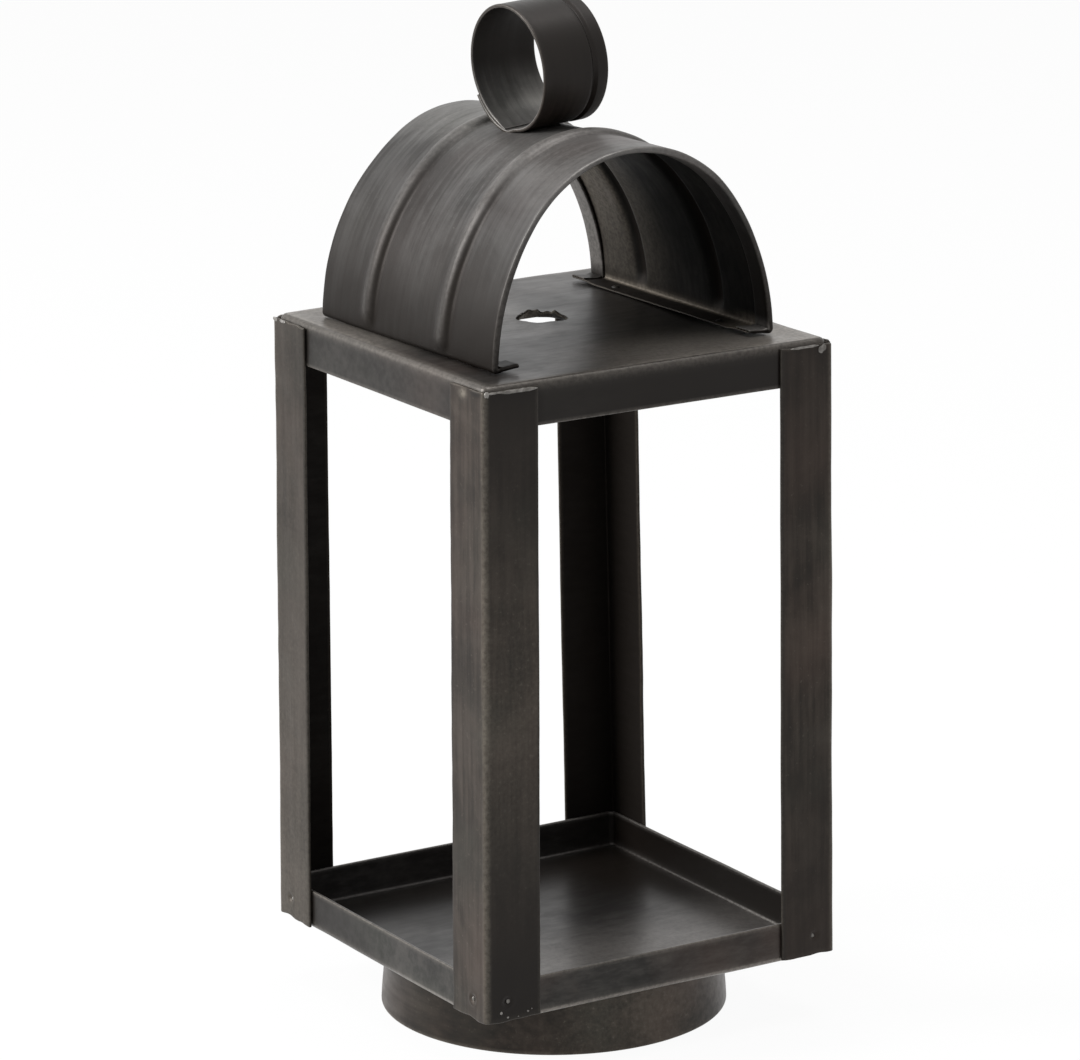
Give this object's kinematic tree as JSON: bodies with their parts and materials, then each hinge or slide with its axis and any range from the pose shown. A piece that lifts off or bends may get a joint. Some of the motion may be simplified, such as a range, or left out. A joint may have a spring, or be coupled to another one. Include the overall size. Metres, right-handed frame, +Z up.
{
  "type": "candle lantern",
  "caption": "Open square sheet-metal candle lantern on a round foot, with corner posts, a base tray, a top pan with a torn vent, an arched hood and a carrying ring.",
  "frame": {"origin": "centre of the foot on the floor", "axes": "+Z up through the middle of the frame, -Y out of the hood's front mouth, +X to the right seen from the front"},
  "size_m": [0.14, 0.14, 0.3517],
  "materials": {
    "blackened_sheet": "blackened sheet steel, hand-rubbed, semi-gloss",
    "hood_sheet": "blackened sheet steel, rubbed lighter, semi-gloss",
    "solder": "dull tin-lead solder and weld metal"
  },
  "bodies": {
    "root": {"foot_ring": "blackened_sheet", "base_tray": "blackened_sheet", "top_pan": "blackened_sheet", "post_front_left": "blackened_sheet", "post_front_right": "blackened_sheet", "post_back_right": "blackened_sheet", "post_back_left": "blackened_sheet", "carry_ring": "blackened_sheet", "hood": "hood_sheet", "bottom_welds": "solder", "hood_welds": "solder", "corner_solder": "solder", "ring_solder": "solder", "foot_solder": "solder"}
  },
  "joints": []
}
